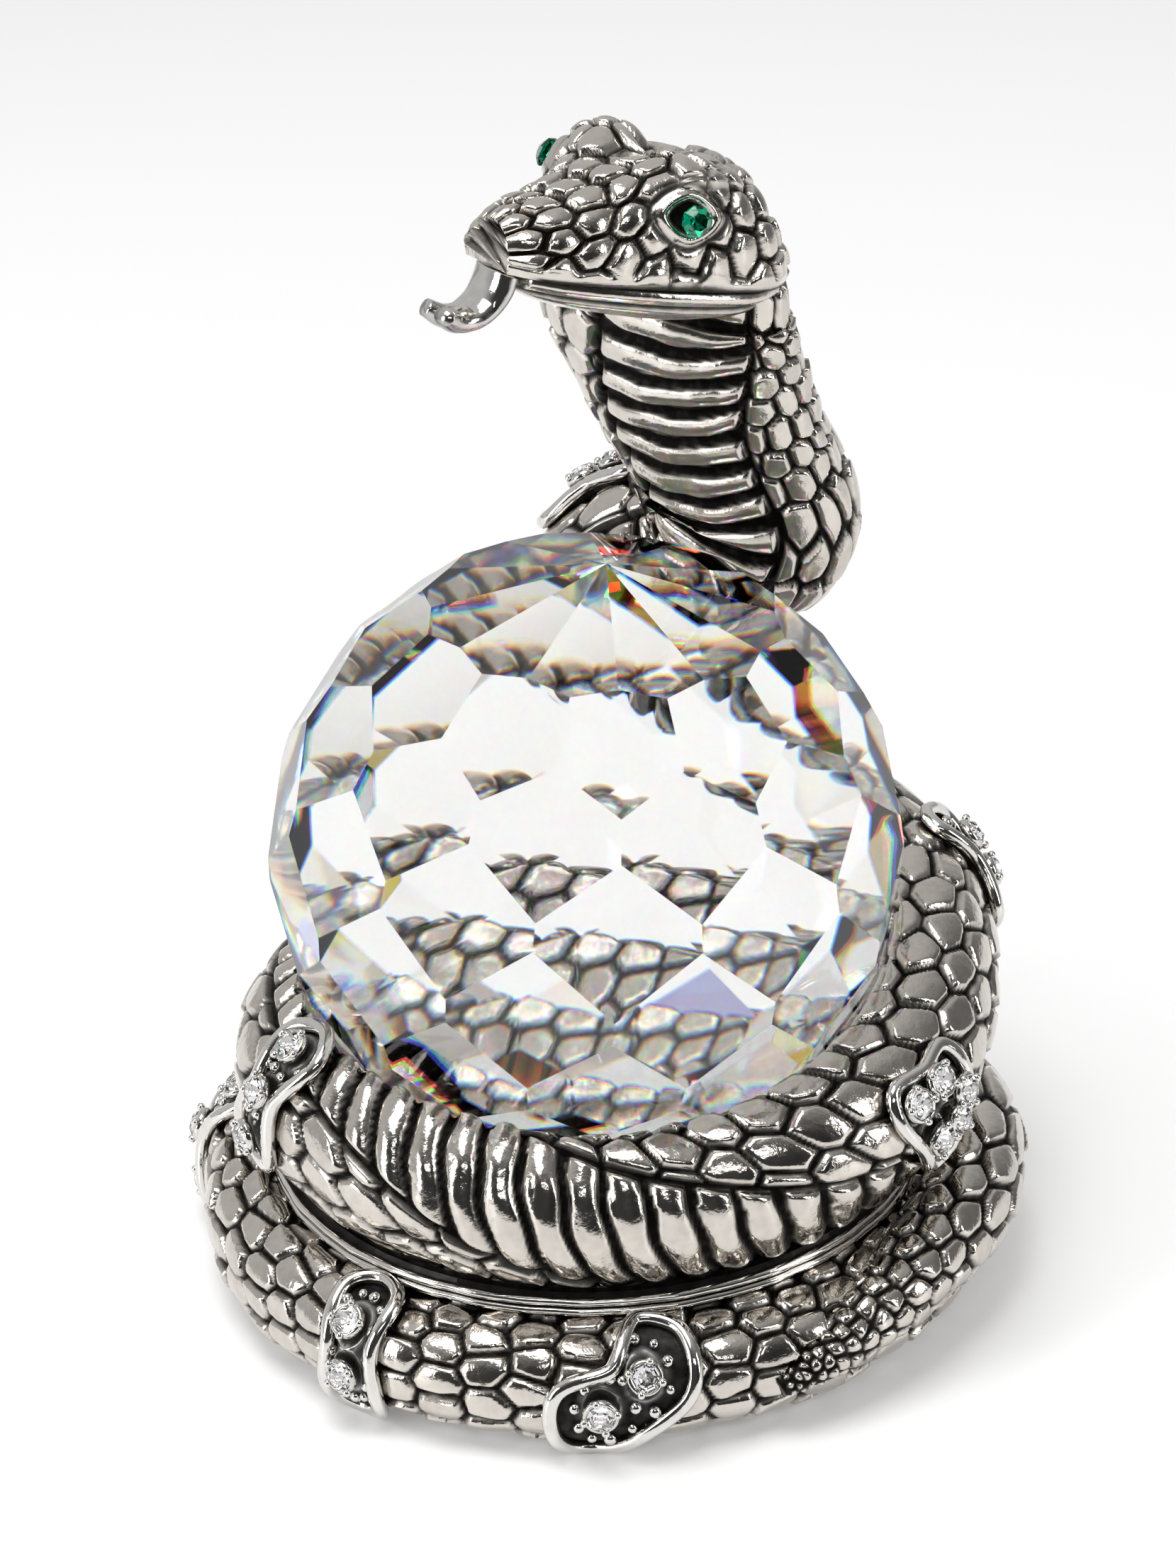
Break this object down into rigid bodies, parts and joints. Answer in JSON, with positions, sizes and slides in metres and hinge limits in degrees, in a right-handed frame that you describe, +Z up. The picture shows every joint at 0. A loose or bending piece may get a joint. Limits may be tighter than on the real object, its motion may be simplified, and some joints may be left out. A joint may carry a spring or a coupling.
{
  "type": "crystal ball",
  "caption": "Faceted crystal ball held in the coils of a jewelled cobra, on the hinged lid of a small round trinket box.",
  "frame": {"origin": "centre of the felt pad's underside, where the part stands on a table, on the axis of the round box and ball", "axes": "+Z up; -Y is the front, where the belly band crosses the lid coil; the hinge is at +Y and the snake's tail lies at +X"},
  "size_m": [0.082, 0.0827, 0.1143],
  "materials": {
    "antique_silver": "silver plate over cast zinc, polished on the high parts, with black patina in the grooves",
    "crystal": "clear cut and polished flat facets",
    "paste_stone": "clear faceted, foiled behind",
    "emerald_stone": "green faceted",
    "felt": "matte",
    "nickel_magnet": "nickel plated",
    "steel_pin": "drawn wire"
  },
  "bodies": {
    "base": {"base_box": "antique_silver", "base_rim": "antique_silver", "tail": "antique_silver", "foot_felt": "felt", "base_magnet": "nickel_magnet", "hinge_knuckle_left": "antique_silver", "hinge_knuckle_right": "antique_silver", "hinge_pin": "steel_pin", "setting_base_front": "antique_silver", "setting_base_front_left": "antique_silver", "setting_base_left": "antique_silver", "setting_base_rear": "antique_silver", "setting_base_rear_left": "antique_silver", "stone_base_front_1": "paste_stone", "stone_base_front_2": "paste_stone", "stone_base_front_left_1": "paste_stone", "stone_base_front_left_2": "paste_stone", "stone_base_left_1": "paste_stone", "stone_base_left_2": "paste_stone", "stone_base_left_3": "paste_stone", "stone_base_rear_1": "paste_stone", "stone_base_rear_2": "paste_stone", "stone_base_rear_left_1": "paste_stone", "stone_base_rear_left_2": "paste_stone"},
    "lid": {"ball_seat_ring": "antique_silver", "body_arch": "antique_silver", "body_coil": "antique_silver", "body_riser": "antique_silver", "crystal_ball": "crystal", "eye_left": "emerald_stone", "eye_right": "emerald_stone", "head": "antique_silver", "hinge_knuckle_lid": "antique_silver", "hood": "antique_silver", "jaw": "antique_silver", "lid_magnet": "nickel_magnet", "lid_plate": "antique_silver", "lid_rim": "antique_silver", "setting_arch_top": "antique_silver", "setting_coil_left": "antique_silver", "setting_coil_right": "antique_silver", "setting_riser_right": "antique_silver", "stone_arch_top_1": "paste_stone", "stone_arch_top_2": "paste_stone", "stone_coil_left_1": "paste_stone", "stone_coil_left_2": "paste_stone", "stone_coil_left_3": "paste_stone", "stone_coil_right_1": "paste_stone", "stone_coil_right_2": "paste_stone", "stone_coil_right_3": "paste_stone", "stone_coil_right_4": "paste_stone", "stone_coil_right_5": "paste_stone", "stone_riser_right_1": "paste_stone", "stone_riser_right_2": "paste_stone", "tongue": "antique_silver"}
  },
  "joints": [
    {"name": "lid_hinge", "type": "hinge", "parent": "base", "child": "lid", "pos_m": [0, 0.033, 0.0131], "axis": [-1, 0, 0], "range_deg": [0, 75]}
  ]
}
